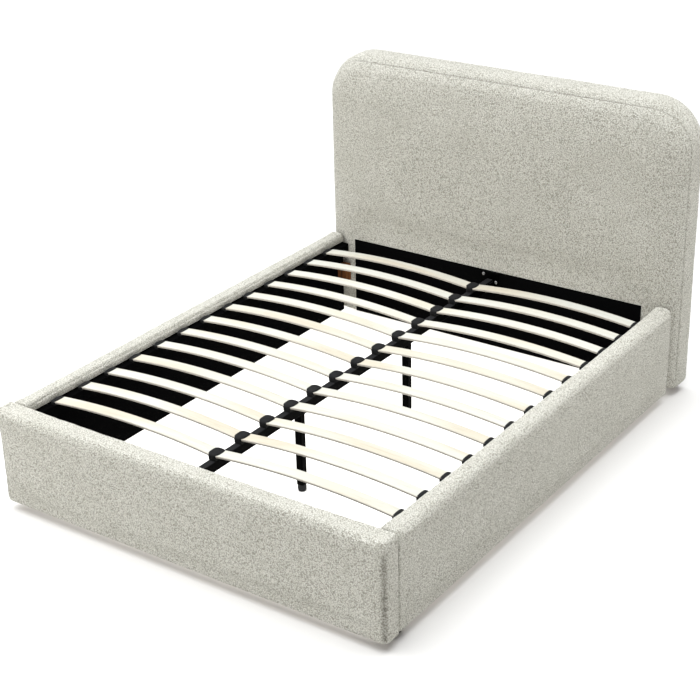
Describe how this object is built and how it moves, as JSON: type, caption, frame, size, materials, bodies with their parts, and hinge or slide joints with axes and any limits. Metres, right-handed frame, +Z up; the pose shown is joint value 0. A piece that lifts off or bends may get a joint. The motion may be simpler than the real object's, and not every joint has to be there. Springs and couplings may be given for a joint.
{
  "type": "upholstered headboard bed",
  "caption": "Upholstered bed frame with a thick round-shouldered padded headboard, boxed padded rails and bowed timber slats on a steel centre rail with legs.",
  "frame": {"origin": "on the floor, under the middle of the bed's bounding box", "axes": "+Z up, +Y from the foot to the headboard, +X to the right as seen from the foot"},
  "size_m": [1.732, 2.29, 1.26],
  "materials": {
    "boucle": "looped boucle weave in a warm pale grey-white, matt",
    "black_lining": "thin black non-woven lining, matt",
    "frame_timber": "plain sawn pine and plywood, unfinished",
    "slat_wood": "pale laminated birch or poplar, satin",
    "black_steel": "black powder coat, satin",
    "black_plastic": "moulded black plastic, satin"
  },
  "bodies": {
    "bed_frame": {"headboard_pad": "boucle", "headboard_boxing": "boucle", "headboard_back_cover": "boucle", "left_rail_pad": "boucle", "right_rail_pad": "boucle", "foot_rail_pad": "boucle", "headboard_lower_lining": "black_lining", "left_rail_lining": "black_lining", "right_rail_lining": "black_lining", "foot_rail_lining": "black_lining", "headboard_front_panel": "frame_timber", "headboard_top_rail": "frame_timber", "headboard_left_post": "frame_timber", "headboard_right_post": "frame_timber", "headboard_cross_rail": "frame_timber", "left_rail_frame": "frame_timber", "right_rail_frame": "frame_timber", "foot_rail_frame": "frame_timber", "head_left_corner_block": "frame_timber", "head_right_corner_block": "frame_timber", "left_slat_01": "slat_wood", "left_slat_02": "slat_wood", "left_slat_03": "slat_wood", "left_slat_04": "slat_wood", "left_slat_05": "slat_wood", "left_slat_06": "slat_wood", "left_slat_07": "slat_wood", "left_slat_08": "slat_wood", "left_slat_09": "slat_wood", "left_slat_10": "slat_wood", "left_slat_11": "slat_wood", "left_slat_12": "slat_wood", "left_slat_13": "slat_wood", "right_slat_01": "slat_wood", "right_slat_02": "slat_wood", "right_slat_03": "slat_wood", "right_slat_04": "slat_wood", "right_slat_05": "slat_wood", "right_slat_06": "slat_wood", "right_slat_07": "slat_wood", "right_slat_08": "slat_wood", "right_slat_09": "slat_wood", "right_slat_10": "slat_wood", "right_slat_11": "slat_wood", "right_slat_12": "slat_wood", "right_slat_13": "slat_wood", "centre_rail": "black_steel", "centre_rail_head_bracket": "black_steel", "centre_rail_foot_bracket": "black_steel", "head_centre_leg": "black_steel", "foot_centre_leg": "black_steel", "left_slat_holders": "black_plastic", "centre_slat_holders": "black_plastic", "right_slat_holders": "black_plastic", "front_left_foot": "black_plastic", "front_right_foot": "black_plastic", "rear_left_foot": "black_plastic", "rear_right_foot": "black_plastic"},
    "head_glide": {"head_leg_glide": "black_plastic"},
    "foot_glide": {"foot_leg_glide": "black_plastic"}
  },
  "joints": [
    {"name": "head_glide_levelling", "type": "slide", "parent": "bed_frame", "child": "head_glide", "axis": [0, 0, 1], "range_m": [-0.012, 0]},
    {"name": "foot_glide_levelling", "type": "slide", "parent": "bed_frame", "child": "foot_glide", "axis": [0, 0, 1], "range_m": [-0.012, 0]}
  ]
}
